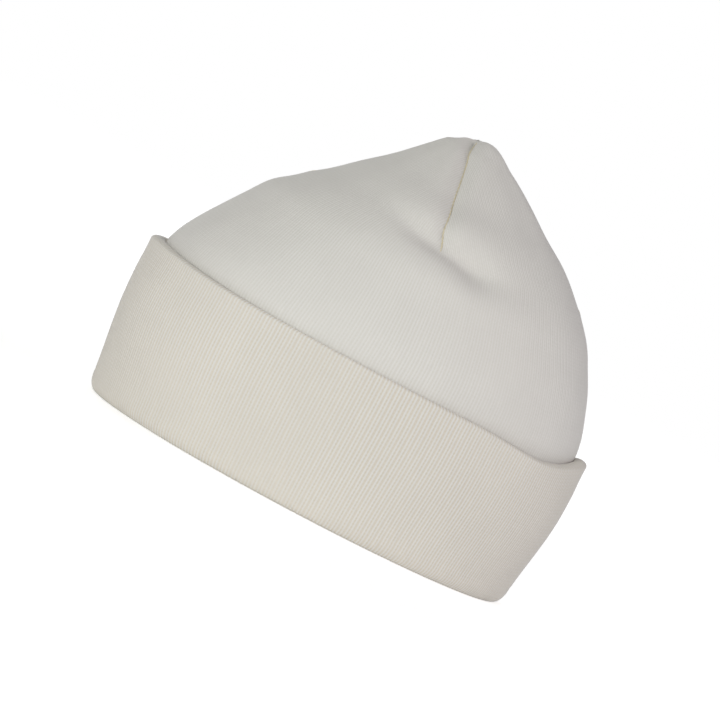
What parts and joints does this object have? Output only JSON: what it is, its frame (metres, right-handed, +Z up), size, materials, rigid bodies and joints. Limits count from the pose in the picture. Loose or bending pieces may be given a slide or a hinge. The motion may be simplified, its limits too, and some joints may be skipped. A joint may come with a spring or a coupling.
{
  "type": "cuffed beanie",
  "caption": "Hollow rib-knit beanie with a deep turned-up cuff, a crown gathered by sewn darts to a peak, and an open oval rim that it stands on.",
  "frame": {"origin": "middle of the rim, on the surface that the hat stands on", "axes": "+Z up through the peak, +X along the head from front to back, +Y across the head; the picture looks along +Y"},
  "size_m": [0.2114, 0.1756, 0.1716],
  "materials": {
    "crown_knit": "cream acrylic yarn in a close rib knit, matt and slightly fuzzy",
    "cuff_knit": "cream acrylic yarn in a close rib knit, doubled and turned up, matt and slightly fuzzy",
    "dart_seam": "overlocked cream yarn, matt"
  },
  "bodies": {
    "root": {"crown": "crown_knit", "cuff": "cuff_knit", "dart_seam_front": "dart_seam", "dart_seam_right": "dart_seam", "dart_seam_back": "dart_seam", "dart_seam_left": "dart_seam"}
  },
  "joints": []
}
